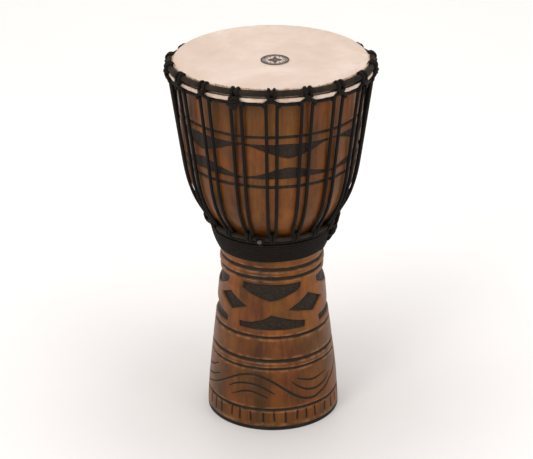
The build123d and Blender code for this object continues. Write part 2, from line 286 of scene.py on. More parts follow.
def wood_material(name, light, middle, dark, coat):
    """Stained, waxed wood: upright grain streaks and pores, with the carved floors painted dark, painted shade
    in the darker patches and a painted highlight on the groove lips.
    """
    n = Nodes(name)
    broad = n.noise(n.scaled((22, 22, 2.2)), 1.0, 4.0, 0.55, 0.6)
    streak = n.noise(n.scaled((150, 150, 5.0)), 1.0, 5.0, 0.6, 0.3)
    pore = n.noise(n.scaled((900, 900, 28)), 1.0, 2.0, 0.5)
    mottle = n.noise(n.place, 26.0, 4.0, 0.6)
    base = n.ramp(broad, (0.30, dark), (0.50, middle), (0.68, light))
    lines = n.ramp(streak, (0.34, 0.50), (0.50, 0.94), (0.66, 1.1))
    base = n.mix(0.5, base, lines, "MULTIPLY")
    warmth = n.noise(n.scaled((14, 14, 11)), 1.0, 5.0, 0.62, 0.8)
    ruddy = n.ramp(warmth, (0.36, (0.76, 0.88, 0.66)), (0.62, (1.16, 0.98, 0.78)))
    base = n.mix(0.9, base, ruddy, "MULTIPLY")
    base = n.mix(0.55, base, n.ramp(mottle, (0.35, 0.55), (0.62, 1.1)), "MULTIPLY")
    pores = n.ramp(pore, (0.30, 0.45), (0.42, 1.0))
    base = n.mix(0.5, base, pores, "MULTIPLY")
    # Darker patches: painted shade above the bottom ring, under the rim and at the bowl's sides, and darker
    # stain elsewhere.
    patch = n.ramp(n.noise(n.place, 30.0, 4.0, 0.6), (0.3, 0.45), (0.65, 1.0))
    stain_and_shade = n.math("MULTIPLY", n.attribute("stain_and_shade"), patch)
    base = n.mix(stain_and_shade, base, n.mix(0.75, base, (0.40, 0.40, 0.46, 1), "MULTIPLY"))
    carve = n.attribute("carve")
    speck = n.noise(n.place, 260.0, 4.0, 0.65)
    paint = n.ramp(speck, (0.32, (0.008, 0.0050, 0.0030)), (0.70, (0.031, 0.0190, 0.0100)))
    edge = n.math("ADD", carve, n.math("MULTIPLY", n.math("SUBTRACT", speck, 0.5), 0.5))
    painted = n.ramp(edge, (0.38, 0.0), (0.60, 1.0))
    colour = n.mix(painted, base, paint)
    # Lighter colour along the groove lips is rubbed stain with a painted highlight; at the foot's lower edge it
    # is rubbed stain.
    wear_and_highlight = n.attribute("wear_and_highlight")
    worn = n.mix(0.5, base, (0.36, 0.185, 0.085, 1))
    wear_and_highlight_share = n.math("MULTIPLY", wear_and_highlight, n.ramp(n.noise(n.place, 70.0, 3.0), (0.40, 0.0), (0.62, 1.0)))
    colour = n.mix(wear_and_highlight_share, colour, worn)
    rough = n.ramp(n.mix(0.5, streak, mottle), (0.35, 0.34), (0.65, 0.50))
    rough = n.mix(painted, rough, (0.7, 0.7, 0.7, 1))
    tool = n.noise(n.scaled((55, 55, 160)), 1.0, 2.0, 0.5)
    normal = n.bump(tool, 0.25, 0.0006)
    normal = n.bump(streak, 0.35, 0.0004, normal)
    normal = n.bump(pore, 0.25, 0.0002, normal)
    fine = n.math("MULTIPLY", painted, speck)
    normal = n.bump(fine, 0.5, 0.0006, normal)
    return n.finish(colour, rough, normal, Coat_Weight=coat, Coat_Roughness=0.22, Specular_IOR_Level=0.15)


def raw_wood_material():
    """The hollow's unfinished wood, with the gouge marks of hand carving."""
    n = Nodes("raw_wood")
    grain = n.noise(n.scaled((110, 110, 6)), 1.0, 5.0, 0.6, 0.3)
    tones = (0.30, (0.20, 0.105, 0.05)), (0.55, (0.36, 0.21, 0.11)), (0.75, (0.46, 0.29, 0.16))
    colour = n.ramp(grain, *tones)
    dirt = n.ramp(n.noise(n.place, 18.0, 4.0), (0.35, 0.55), (0.65, 1.0))
    colour = n.mix(0.6, colour, dirt, "MULTIPLY")
    gouge = n.add("ShaderNodeTexVoronoi", feature="SMOOTH_F1")
    n.link(n.scaled((60, 60, 22)), gouge.inputs["Vector"])
    gouge.inputs["Scale"].default_value = 1.0
    normal = n.bump(gouge.outputs["Distance"], 0.6, 0.002)
    normal = n.bump(grain, 0.4, 0.0005, normal)
    return n.finish(colour, 0.72, normal)


def goatskin_material():
    """Shaved hide: creamy and faintly pink, with pores, faint veins and a browner rim, stained, with painted
    shade towards the back right.
    """
    n = Nodes("goatskin")
    cloud = n.noise(n.place, 9.0, 5.0, 0.6, 0.4)
    tones = (0.30, (0.58, 0.435, 0.345)), (0.52, (0.67, 0.53, 0.445)), (0.74, (0.78, 0.65, 0.57))
    colour = n.ramp(cloud, *tones)
    blotch = n.ramp(n.noise(n.place, 38.0, 4.0, 0.6), (0.40, (0.96, 0.90, 0.86)), (0.66, (1.0, 1.0, 1.0)))
    colour = n.mix(0.45, colour, blotch, "MULTIPLY")
    spine = n.noise(n.scaled((3.0, 26.0, 26.0)), 1.0, 5.0, 0.62, 1.0)
    colour = n.mix(n.ramp(spine, (0.50, 0.0), (0.72, 0.22)), colour, (0.66, 0.47, 0.36, 1))
    # Brown along the hide's edge: stain, with painted shade where it grows towards the back right.
    rim_stain_and_shade = n.attribute("rim_stain_and_shade")
    stain = n.ramp(n.noise(n.place, 110.0, 5.0, 0.65, 1.0), (0.40, 0.0), (0.64, 0.8))
    colour = n.mix(n.math("MULTIPLY", rim_stain_and_shade, stain, True), colour, (0.40, 0.25, 0.12, 1))
    pores = n.add("ShaderNodeTexVoronoi")
    n.link(n.place, pores.inputs["Vector"])
    pores.inputs["Scale"].default_value = 720.0
    fine = n.noise(n.place, 900.0, 3.0, 0.6)
    normal = n.bump(cloud, 0.12, 0.003)
    normal = n.bump(pores.outputs["Distance"], 0.12, 0.0003, normal)
    normal = n.bump(fine, 0.16, 0.0002, normal)
    rough = n.ramp(cloud, (0.35, 0.52), (0.65, 0.62))
    return n.finish(
        colour, rough, normal, Subsurface_Weight=0.12, Subsurface_Radius=(0.004, 0.002, 0.001),
        Sheen_Weight=0.08, Sheen_Roughness=0.5,
    )


PLAIT_TURNS = 12.566


def rope_material(name, dark, light):
    """Braided polyester: plaits along the rope from its own UV, fuzz and a dull sheen."""
    n = Nodes(name)
    uv = n.add("ShaderNodeUVMap", uv_map="rope").outputs["UV"]
    split = n.add("ShaderNodeSeparateXYZ")
    n.link(uv, split.inputs[0])
    around = n.math("MULTIPLY", split.outputs["X"], 0.5)
    strands = []
    for way in ("ADD", "SUBTRACT"):
        lay = n.math(way, split.outputs["Y"], around)
        strands.append(n.math("SINE", n.math("MULTIPLY", lay, PLAIT_TURNS)))
    plait = n.math("MAXIMUM", *strands)
    plait = n.ramp(plait, (0.0, 0.0), (0.55, 0.75), (1.0, 1.0))
    fuzz = n.noise(n.place, 2600.0, 3.0, 0.6)
    tone = n.noise(n.place, 90.0, 3.0, 0.6)
    # Painted shade: the colour darkens in the grooves between plaited strands and is lighter on their crowns.
    colour = n.mix(plait, dark, light)
    colour = n.mix(0.5, colour, n.ramp(tone, (0.3, 0.55), (0.7, 1.25)), "MULTIPLY")
    dust = n.ramp(fuzz, (0.62, 0.0), (0.78, 0.35))
    colour = n.mix(dust, colour, (0.040, 0.032, 0.025, 1))
    normal = n.bump(plait, 0.8, 0.0006)
    normal = n.bump(fuzz, 0.3, 0.0002, normal)
    return n.finish(colour, 0.66, normal, Specular_IOR_Level=0.13)


def tape_material():
    """Cotton tape wound round the crown ring, from the ring's own UV."""
    n = Nodes("crown_tape")
    uv = n.add("ShaderNodeUVMap", uv_map="rope").outputs["UV"]
    split = n.add("ShaderNodeSeparateXYZ")
    n.link(uv, split.inputs[0])
    lay = n.math("ADD", n.math("MULTIPLY", split.outputs["Y"], 0.42), split.outputs["X"])
    fold = n.math("FRACT", lay)
    warp = n.math("SUBTRACT", split.outputs["Y"], split.outputs["X"])
    threads = n.math("SINE", n.math("MULTIPLY", warp, 88.0))
    weft = n.math("SINE", n.math("MULTIPLY", lay, 113.0))
    weave = n.math("MULTIPLY", n.math("ADD", threads, weft), 0.25)
    tone = n.noise(n.place, 60.0, 3.0)
    colour = n.ramp(tone, (0.3, (0.010, 0.0068, 0.0042)), (0.7, (0.031, 0.0205, 0.0120)))
    # Painted shade: the colour darkens along the edge where each turn of tape lies on the one before.
    colour = n.mix(n.ramp(fold, (0.0, 0.75), (0.14, 0.0)), colour, (0.006, 0.005, 0.004, 1))
    normal = n.bump(fold, 0.7, 0.0008)
    normal = n.bump(weave, 0.5, 0.0003, normal)
    return n.finish(colour, 0.8, normal, Specular_IOR_Level=0.2)


def rubber_material():
    n = Nodes("foot_rubber")
    grain = n.noise(n.place, 900.0, 3.0, 0.6)
    scuff = n.noise(n.scaled((40, 40, 300)), 1.0, 4.0, 0.6)
    colour = n.ramp(scuff, (0.35, (0.006, 0.0055, 0.005)), (0.70, (0.020, 0.0175, 0.0155)))
    normal = n.bump(grain, 0.4, 0.0002)
    return n.finish(colour, n.ramp(scuff, (0.3, 0.55), (0.7, 0.75)), normal, Specular_IOR_Level=0.2)


def steel_material():
    n = Nodes("ring_steel")
    rust = n.noise(n.place, 120.0, 5.0, 0.65)
    colour = n.ramp(rust, (0.45, (0.30, 0.29, 0.28)), (0.62, (0.16, 0.09, 0.05)))
    brush = n.noise(n.scaled((500, 500, 60)), 1.0, 2.0)
    normal = n.bump(brush, 0.2, 0.0002)
    rough = n.ramp(rust, (0.45, 0.35), (0.62, 0.80))
    return n.finish(colour, rough, normal, Metallic=0.85)


# ---- mesh helpers -------------------------------------------------------------------------------


def new_piece(name, verts, faces, body, material, replaced=(), smooth=True):
    mesh = bpy.data.meshes.new(name)
    mesh.from_pydata([tuple(v) for v in verts], [], faces)
    mesh.materials.append(material)
    mesh.polygons.foreach_set("use_smooth", [smooth] * len(mesh.polygons))
    piece = bpy.data.objects.new(name, mesh)
    bpy.context.collection.objects.link(piece)
    if replaced:
        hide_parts(*replaced)
    if body:
        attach(piece, body)
    return piece


def ring_faces(rows, around, first=0, wrap=False, flip=False):
    """Faces between neighbouring rings of vertices; wrap joins the last ring to the first."""
    faces = []
    for i in range(rows if wrap else rows - 1):
        a, b = first + i * around, first + (i + 1) % rows * around
        for k in range(around):
            m = (k + 1) % around
            faces.append((a + k, b + k, b + m, a + m) if flip else (a + k, a + m, b + m, b + k))
    return faces


def add_values(mesh, name, values):
    """One number per vertex for a material; vertices past the given values get zero."""
    padded = np.zeros(len(mesh.vertices))
    padded[: np.size(values)] = np.ravel(values)
    mesh.attributes.new(name, "FLOAT", "POINT").data.foreach_set("value", padded)


def thicken(piece, thickness):
    piece.modifiers.new("thickness", "SOLIDIFY").thickness = thickness
    with bpy.context.temp_override(object=piece, active_object=piece):
        bpy.ops.object.modifier_apply(modifier="thickness")


def ragged_waves(seed, counts):
    """Waves that add up to an uneven edge: each one's number round the drum, phase and size."""
    draw = random.Random(seed)
    return [(count, draw.uniform(0, 2 * pi), draw.uniform(0.3, 1.0)) for count in counts]


def ragged(waves, angle):
    return sum(size * sin(count * angle + phase) for count, phase, size in waves)


def smoothstep(low, high, value):
    t = np.clip((value - low) / (high - low), 0, 1)
    return t * t * (3 - 2 * t)


def segment_distance(px, py, ax, ay, bx, by):
    dx, dy = bx - ax, by - ay
    t = np.clip(((px - ax) * dx + (py - ay) * dy) / (dx * dx + dy * dy), 0, 1)
    return np.hypot(px - ax - t * dx, py - ay - t * dy)


def line_distance(px, py, points):
    best = np.full(px.shape, 1e9)
    for (ax, ay), (bx, by) in zip(points, points[1:]):
        best = np.minimum(best, segment_distance(px, py, ax, ay, bx, by))
    return best


def polygon_inside(px, py, points):
    """Signed distance to a polygon: positive inside."""
    best = line_distance(px, py, [*points, points[0]])
    inside = np.zeros(px.shape, bool)
    for (ax, ay), (bx, by) in zip(points, [*points[1:], points[0]]):
        crosses = (ay > py) != (by > py)
        with np.errstate(divide="ignore", invalid="ignore"):
            at = ax + (py - ay) / (by - ay) * (bx - ax)
        inside ^= crosses & (px < at)
    return np.where(inside, best, -best)


def smooth_curve(points, count):
    """Points along a smooth curve through the given ones (Catmull-Rom)."""
    points = [points[0], *points, points[-1]]
    spans = len(points) - 3
    curve = []
    for step in range(count + 1):
        place = step / count * spans
        span = min(int(place), spans - 1)
        t = place - span
        a, b, c, d = (Vector(points[span + k]) for k in range(4))
        square = (2 * a - 5 * b + 4 * c - d) * t * t
        cube = (3 * b - a - 3 * c + d) * t**3
        curve.append(0.5 * ((2 * b) + (c - a) * t + square + cube))
    return curve


def rounded_route(points, closed=False, spacing=0.0012, order=3):
    """Evenly read points along the NURBS spline whose control points are the route's corners."""
    curve = bpy.data.curves.new("route", "CURVE")
    curve.dimensions = "3D"
    curve.resolution_u = 12
    spline = curve.splines.new("NURBS")
    spline.points.add(len(points) - 1)
    for point, place in zip(spline.points, points):
        point.co = (*place, 1)
    spline.order_u = order
    spline.use_cyclic_u = closed
    spline.use_endpoint_u = not closed
    holder = bpy.data.objects.new("route", curve)
    bpy.context.collection.objects.link(holder)
    mesh = bpy.data.meshes.new_from_object(holder.evaluated_get(bpy.context.evaluated_depsgraph_get()))
    line = np.array([v.co for v in mesh.vertices])
    bpy.data.objects.remove(holder)
    bpy.data.curves.remove(curve)
    bpy.data.meshes.remove(mesh)
    if closed:
        line = np.vstack([line, line[:1]])
    steps = np.linalg.norm(np.diff(line, axis=0), axis=1)
    run = np.concatenate([[0], np.cumsum(steps)])
    count = max(8, int(run[-1] / spacing))
    at = np.linspace(0, run[-1], count + 1)
    even = np.stack([np.interp(at, run, line[:, k]) for k in range(3)], 1)
    return even[:-1] if closed else even


def frames_along(line, closed):
    """Tangents and steady side vectors along a line."""
    if closed:
        tangents = np.roll(line, -1, 0) - np.roll(line, 1, 0)
    else:
        tangents = np.gradient(line, axis=0)
    tangents /= np.linalg.norm(tangents, axis=1)[:, None]
    side = np.cross(tangents[0], (0, 0, 1))
    if np.linalg.norm(side) < 0.1:
        side = np.cross(tangents[0], (1, 0, 0))
    side /= np.linalg.norm(side)
    sides = []
    for tangent in tangents:
        side = side - tangent * np.dot(side, tangent)
        side /= np.linalg.norm(side)
        sides.append(side)
    sides = np.array(sides)
    if closed:
        first, last = sides[0], sides[-1]
        turn = atan2(np.dot(np.cross(last, first), tangents[0]), np.dot(last, first))
        for i in range(len(sides)):
            a = turn * i / len(sides)
            up = np.cross(tangents[i], sides[i])
            sides[i] = sides[i] * cos(a) + up * sin(a)
    return tangents, sides


def tube(line, radius, closed=False, around=10, pitch=None, wobble=0.0):
    """Vertices, faces and UVs of a tube along a line. The UV's Y counts rope plaits."""
    line = np.asarray(line, float)
    tangents, sides = frames_along(line, closed)
    ups = np.cross(tangents, sides)
    count = len(line)
    steps = np.linalg.norm(np.diff(line, axis=0), axis=1)
    run = np.concatenate([[0], np.cumsum(steps)])
    radii = np.broadcast_to(radius, (count,))
    pitch = pitch or radii[0] * 3.4
    verts, faces, uvs = [], [], []
    for i in range(count):
        for k in range(around):
            a = 2 * pi * k / around
            r = radii[i] * (1 + wobble * sin(2 * pi * run[i] / pitch * 2 + 2 * a))
            verts.append(line[i] + (sides[i] * cos(a) + ups[i] * sin(a)) * r)
    rings = count if closed else count - 1
    for i in range(rings):
        j = (i + 1) % count
        low = run[i] / pitch
        high = (run[i] + (steps[i] if i < len(steps) else pitch * 0.3)) / pitch
        for k in range(around):
            m = (k + 1) % around
            faces.append((i * around + k, i * around + m, j * around + m, j * around + k))
            left, right = 2 * k / around, 2 * (k + 1) / around
            uvs += [(left, low), (right, low), (right, high), (left, high)]
    if not closed:
        for end, sign in ((0, -1), (count - 1, 1)):
            tip = len(verts)
            verts.append(line[end] + tangents[end] * sign * radii[end] * 0.35)
            for k in range(around):
                m = (k + 1) % around
                a, b = end * around + k, end * around + m
                faces.append((b, a, tip) if sign < 0 else (a, b, tip))
                uvs += [(0, 0), (0.1, 0), (0.05, 0.1)]
    return verts, faces, uvs


def join_parts(parts):
    """Several tubes as one set of vertices, faces and UVs."""
    verts, faces, uvs = [], [], []
    for more_verts, more_faces, more_uvs in parts:
        base = len(verts)
        verts += list(more_verts)
        faces += [tuple(i + base for i in face) for face in more_faces]
        uvs += more_uvs
    return verts, faces, uvs


def rope_piece(name, parts, body, material, replaced=()):
    verts, faces, uvs = join_parts(parts)
    piece = new_piece(name, verts, faces, body, material, replaced)
    layer = piece.data.uv_layers.new(name="rope")
    layer.data.foreach_set("uv", np.array(uvs, np.float32).ravel())
    return piece


# ---- shell --------------------------------------------------------------------------------------

FOOT_OUTSIDE = [
    (107.6, 6.5), (106.6, 30), (104.6, 58), (101.4, 90), (97.4, 125), (94.6, 150), (92.6, 166),
    (91.8, 174), (88.6, 205), (86.4, 230), (84.8, 252), (84.0, 272), (82.9, 290),
]
BOWL_OUTSIDE = [
    (82.9, 290), (84.6, 305), (88.0, 320), (95.5, 345), (109.3, 362), (120.3, 381), (130.3, 408),
    (137.2, 446), (141.0, 475), (143.8, 501), (146.3, 530), (148.2, 559), (151.2, 600),
]
RIM = [(151.2, 602), (151.0, 604), (149.8, 605.8), (147.6, 606.8), (145.0, 605.6)]
INSIDE = [
    (142.0, 597), (138.5, 555), (132.5, 495), (121.5, 430), (103.0, 386), (79.0, 348), (66.0, 300),
    (65.8, 262), (72.0, 200), (82.0, 100), (92.0, 3.2),
]
FOOT_SEAT = [(105.2, 3.1), (105.2, 6.5)]
SHELL_AROUND = 600
PROFILE_BLUR = 6.0
# Darker patches in the wood's colour: angle, height, half width, half height and strength. The tall ones at 62
# and -68 degrees on the bowl are painted shade at its sides; the rest are darker stain.
STAIN_AND_SHADE_PATCHES = [
    (2, 142, 34, 20, 0.75), (8, 75, 48, 30, 0.45), (-52, 60, 26, 25, 0.35), (62, 480, 24, 70, 0.55),
    (-68, 470, 24, 90, 0.55), (95, 130, 40, 30, 0.5), (150, 80, 40, 40, 0.5), (215, 140, 45, 24, 0.6),
    (265, 90, 30, 40, 0.45), (130, 470, 30, 60, 0.4), (200, 500, 26, 60, 0.45), (14, 395, 20, 26, 0.35),
]
PANEL = (173.5, 251.6)
PLAIN_GROOVES = [(33.2, 38.8, 2.0), (105.2, 109.5, 2.2), (118.1, 124.3, 2.6), (158.9, 164.3, 2.8)]
WAIST_GROOVES = [(258.9, 266.0, 3.0), (274.6, 280.8, 2.8)]


def wavy(angle, seed, size):
    """A slow, uneven wander round the drum, the same every run."""
    a = np.radians(angle)
    return size * (
        0.5 * np.sin(2 * a + seed) + 0.3 * np.sin(5 * a + 2.1 * seed) + 0.2 * np.sin(11 * a + 3.7 * seed)
        + 0.12 * np.sin(23 * a + 1.3 * seed)
    )


UPPER_FIELD = [
    (-54, 252.5), (-54, 241.5), (-36, 233.5), (-16, 227), (-2, 222.5), (10, 225.5), (34, 234.5), (50, 242.5),
    (52, 252.5),
]
LOWER_FIELD = [
    (-57, 172.5), (-58, 184.5), (-36, 185.5), (-16, 191.5), (-2, 199.5), (14, 195.5), (36, 189), (55, 184),
    (54, 172.5),
]
DIAMONDS = (
    [(-45, 207.5), (-26, 217.5), (-6, 229.5), (30, 212), (3, 195)],
    [(-38, 217.5), (-12, 229), (24, 210.5), (-8, 198.5)],
)
PANEL_RADIUS = 88.0
# The cut lines of one wave motif: degrees and millimetres of height along each, and its width.
WAVE_LINES = [
    ([(-84, 46), (-67, 57.5), (-54, 69.5), (-38, 86.5), (-27, 94.5), (-17, 95.5), (-7, 91), (2, 82.5), (11, 71),
      (18, 61.5), (25, 54), (32, 49.5), (40, 48), (47, 51.5), (55, 56.5), (62, 64.5), (72, 74), (80, 84),
      (88, 98)], 1.9),
    ([(-88, 76), (-78, 81), (-70, 86.5), (-62, 95)], 1.5),
    ([(-86, 61), (-76, 65.5), (-68, 70.5), (-58, 79.5)], 1.5),
    ([(-44, 66.5), (-37, 74.5), (-28.5, 79), (-19.5, 79.2), (-12, 76.5), (-4.7, 70.3), (1, 64)], 1.6),
    ([(-40, 54.8), (-31.5, 62.5), (-23.5, 66.5), (-15.7, 64.5), (-9, 60.3), (-4.7, 57)], 1.5),
    ([(22.5, 88), (30.5, 83.3), (38.3, 79.8), (46, 80.5), (55, 84)], 1.5),
    ([(17.4, 83.6), (23, 74.7), (31, 66.4), (40, 62.8), (47.7, 64), (55.5, 69), (62, 78)], 1.6),
]
WAVE_CENTRES = (0, 176)
WAVE_RADIUS = 103.0
TICKS = 35
TICK_RADIUS = 107.0


def turned_groove(angle, z, low, high, seed):
    """Share of a hand-cut groove: 1 in its floor, 0 outside."""
    shift = wavy(angle, seed, 0.7)
    edge = 0.9
    low_edge = smoothstep(low - edge / 2, low + edge, z - shift)
    high_edge = 1 - smoothstep(high - edge, high + edge / 2, z - shift)
    return low_edge * high_edge


def panel_share(angle, z):
    """The foot's carved band: four crosses, joined to their neighbours by frames round diamonds."""
    share = np.zeros(z.shape)
    for repeat, shift in enumerate((0, 2, -3, 1)):
        centre = 90 * repeat + shift
        edge = 0.9 + 0.06 * (repeat % 3)
        height = z + wavy(angle, 2.9 + repeat, 0.8)
        cross = PANEL_RADIUS * np.radians(turn_from(centre, angle)) + wavy(angle, 1.3 + repeat, 0.8)
        between = PANEL_RADIUS * np.radians(turn_from(centre + 45, angle)) + wavy(angle, 4.1 + repeat, 0.8)
        for field, x in ((UPPER_FIELD, cross), (LOWER_FIELD, cross), (DIAMONDS[repeat % 2], between)):
            share = np.maximum(share, smoothstep(-edge / 2, edge, polygon_inside(x, height, field)))
    return share


def strip(z, low, high, edge=1.0):
    """1 between two heights and 0 outside, with soft edges."""
    return smoothstep(low - edge, low + edge, z) * (1 - smoothstep(high - edge, high + edge, z))


def hex_band(angle, z):
    """The bowl's chain of long hexagons: the share of dark floor above and below the light chain."""
    phase = ((angle - 11.0) / 60.0) % 1.0
    ramp = 1 - np.abs(2 * phase - 1)
    wide = 0.55 * ramp + 0.45 * smoothstep(0.05, 0.95, ramp)
    top = 495.0 + 23.0 * wide + wavy(angle, 0.7, 1.6)
    bottom = 481.0 - 18.5 * wide + wavy(angle, 5.2, 1.6)
    above = strip(z, top, 520.3 + wavy(angle, 3.3, 1.2))
    below = strip(z, 460.0 + wavy(angle, 6.1, 1.2), bottom)
    return np.maximum(above, below)


def wave_share(angle, z):
    """Long cut waves above the foot, each line thin at its ends and wide in its middle."""
    share = np.zeros(z.shape)
    for centre in WAVE_CENTRES:
        x = WAVE_RADIUS * np.radians(turn_from(centre, angle))
        for line, width in WAVE_LINES:
            smooth = smooth_curve([(WAVE_RADIUS * radians(a), h, 0) for a, h in line], 5 * len(line))
            flat = [(p.x, p.y) for p in smooth]
            for step, (start, end) in enumerate(zip(flat, flat[1:])):
                wide = width * (0.55 + 1.0 * sin(pi * (step + 0.5) / len(flat)))
                distance = segment_distance(x, z, *start, *end)
                share = np.maximum(share, 1 - smoothstep(wide * 0.35, wide * 1.15, distance))
    return share


def tick_share(angle, z):
    """Short upright nicks between the lowest groove and the foot."""
    share = np.zeros(z.shape)
    draw = random.Random(5)
    for tick in range(TICKS):
        centre = 360 / TICKS * tick + draw.uniform(-1.6, 1.6)
        top, low = 31.5 + draw.uniform(-1, 1), 15.5 + draw.uniform(-3, 2.5)
        lean = draw.uniform(-1.2, 1.2)
        x = TICK_RADIUS * np.radians(turn_from(centre, angle))
        near = np.abs(x) < 12
        distance = np.full(z.shape, 1e3)
        distance[near] = segment_distance(x[near], z[near], 0, top, lean, low)
        share = np.maximum(share, 1 - smoothstep(0.7, 2.5, distance))
    return share


def shell_rows():
    """Heights of the mesh rows: close together where something is carved."""
    def rows(low, high, step):
        return list(np.arange(low, high - step * 0.4, step))
    foot = rows(6.5, 8, 1.5) + rows(8, 41, 1.35) + rows(41, 104, 1.35) + rows(104, 126, 0.9)
    foot += rows(126, 157, 3.5) + rows(157, 166, 0.9) + rows(166, 172, 2) + rows(172, 254, 1.3)
    foot += rows(254, 290.5, 1.2)
    bowl = rows(290.5, 345, 5) + rows(345, 440, 3.2) + rows(440, 449, 1.1) + rows(449, 524, 1.35)
    bowl += rows(524, 530, 2) + rows(530, 536, 0.9) + rows(536, 600, 3.5) + [600.0]
    return np.array(foot + bowl)


def carved(heights, angle, z):
    """How deep each vertex is cut, in millimetres, and how much of it is painted dark."""
    depth, carve = np.zeros(z.shape), np.zeros(z.shape)

    def cut(low, high, function, deep, paint=1.0):
        mask = (heights > low) & (heights < high)
        share = function(angle[mask], z[mask])
        depth[mask] = np.maximum(depth[mask], share * deep)
        carve[mask] = np.maximum(carve[mask], share * paint)

    for index, (low, high, deep) in enumerate(PLAIN_GROOVES + WAIST_GROOVES):
        cut(low - 4, high + 4, lambda a, h: turned_groove(a, h, low, high, index * 1.7), deep)
    cut(170, 256, lambda a, h: np.minimum(panel_share(a, h), turned_groove(a, h, *PANEL, 9.0)), 4.2)
    cut(440, 530, hex_band, 2.0)
    cut(440, 452, lambda a, h: turned_groove(a, h, 442.6, 448.6, 8.2), 1.8)
    cut(526, 540, lambda a, h: turned_groove(a, h, 530.2, 535.4, 12.2), 1.6)
    cut(39, 104.5, wave_share, 1.7, 0.95)
    cut(10, 34, tick_share, 1.9, 0.95)
    return depth, carve


def rubbed_and_lit_edges(z):
    """Where the colour is lighter: rubbed stain with a painted highlight along the groove lips, and rubbed
    stain at the foot's lower edge.
    """
    wear_and_highlight = np.zeros(z.shape)
    for low, high, _ in PLAIN_GROOVES + WAIST_GROOVES:
        edges = np.exp(-((z - low + 1.2) / 1.3) ** 2) + np.exp(-((z - high - 1.2) / 1.3) ** 2)
        wear_and_highlight = np.maximum(wear_and_highlight, edges)
    return np.clip(np.maximum(wear_and_highlight, np.exp(-((z - 9) / 3.0) ** 2)), 0, 1)


def stain_and_painted_shade(angle, z):
    """How much darker the wood's colour is: painted shade on the bowl's lower curve above the bottom ring and
    under its rim, darker stain on the foot and faintly over the bowl, and the patches.
    """
    stain_and_shade = 0.75 * np.exp(-((z - 352) / 22) ** 2) + 0.45 * np.exp(-((z - 598) / 9) ** 2)
    stain_and_shade += 0.42 * (1 - smoothstep(150, 175, z)) + 0.12 * smoothstep(300, 340, z)
    for centre, middle, wide, tall, strength in STAIN_AND_SHADE_PATCHES:
        turn = turn_from(centre, angle)
        stain_and_shade += strength * np.exp(-((turn / wide) ** 2) - ((z - middle) / tall) ** 2)
    return np.clip(stain_and_shade, 0, 1)


def make_shell(wood, raw):
    """The wooden goblet: rings of vertices up its outside, over the rim and down its hollow."""
    around = SHELL_AROUND
    heights = shell_rows()
    profile = np.array(FOOT_OUTSIDE + BOWL_OUTSIDE[1:])
    radius = np.interp(heights, profile[:, 1], profile[:, 0])
    smooth_radius = []
    for height in heights:
        weights = np.exp(-((heights - height) / PROFILE_BLUR) ** 2) * np.gradient(heights)
        smooth_radius.append(np.average(radius, weights=weights))
    radius = np.where((heights > 12) & (heights < 592), smooth_radius, radius)
    angles = np.linspace(0, 360, around, endpoint=False)
    angle, z = np.meshgrid(angles, heights)
    depth, carve = carved(heights, angle, z)

    bulge = 0.5 * np.sin(np.radians(3 * angle + 20)) * smoothstep(40, 200, z)
    bulge += wavy(angle + z * 0.4, 4.4, 0.35)
    bands = np.where((z > 236) & (z < 290.5), 0.9 * np.cos((z - 270) / 36 * 2 * pi), 0.0)
    r = (radius[:, None] + bulge * (z < 592) + bands - depth) * MM
    a = np.radians(angle)
    outside = np.stack([r * np.sin(a), -r * np.cos(a), z * MM], -1).reshape(-1, 3)

    def ring(radius, height):
        a = np.radians(angles)
        return np.stack([radius * MM * np.sin(a), -radius * MM * np.cos(a), np.full(around, height * MM)], -1)

    rows = [ring(*place) for place in RIM]
    for p in smooth_curve([(r, h, 0) for r, h in INSIDE], 46):
        gouge = 0.7 * np.sin(np.radians(angles * 31 + p.y * 9)) * (0.5 + 0.5 * np.sin(p.y * 0.21))
        rows.append(ring(p.x + gouge * (p.y > 10) * (p.y < 590), p.y))
    rows += [ring(*place) for place in FOOT_SEAT]
    verts = np.vstack([outside, *rows])
    total = len(heights) + len(rows)
    index = np.arange(total * around).reshape(total, around)
    above = np.roll(index, -1, 0)
    quads = np.stack([index, np.roll(index, -1, 1), np.roll(above, -1, 1), above], -1).reshape(-1, 4)

    mesh = bpy.data.meshes.new("carved_shell")
    mesh.vertices.add(len(verts))
    mesh.vertices.foreach_set("co", verts.ravel())
    mesh.loops.add(quads.size)
    mesh.loops.foreach_set("vertex_index", quads.ravel())
    mesh.polygons.add(len(quads))
    mesh.polygons.foreach_set("loop_start", np.arange(0, quads.size, 4))
    mesh.polygons.foreach_set("use_smooth", np.ones(len(quads), bool))
    mesh.update(calc_edges=True)
    mesh.validate()
    for material in (wood, raw):
        mesh.materials.append(material)
    row = np.repeat(np.arange(total), around)
    raw_rows = (row >= len(heights) + len(RIM) - 1) & (row < total - 1)
    mesh.polygons.foreach_set("material_index", raw_rows.astype(np.int32))
    add_values(mesh, "carve", carve)
    # Lighter edges: rubbed stain, with a painted highlight on the groove lips.
    add_values(mesh, "wear_and_highlight", rubbed_and_lit_edges(z))
    # Darker colour: painted shade near the bottom ring, under the rim and at the bowl's sides, with darker
    # stain.
    add_values(mesh, "stain_and_shade", stain_and_painted_shade(angle, z))
    shell = bpy.data.objects.new("carved_shell", mesh)
    bpy.context.collection.objects.link(shell)
    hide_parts("shell")
    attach(shell, "drum")


# ---- head ---------------------------------------------------------------------------------------


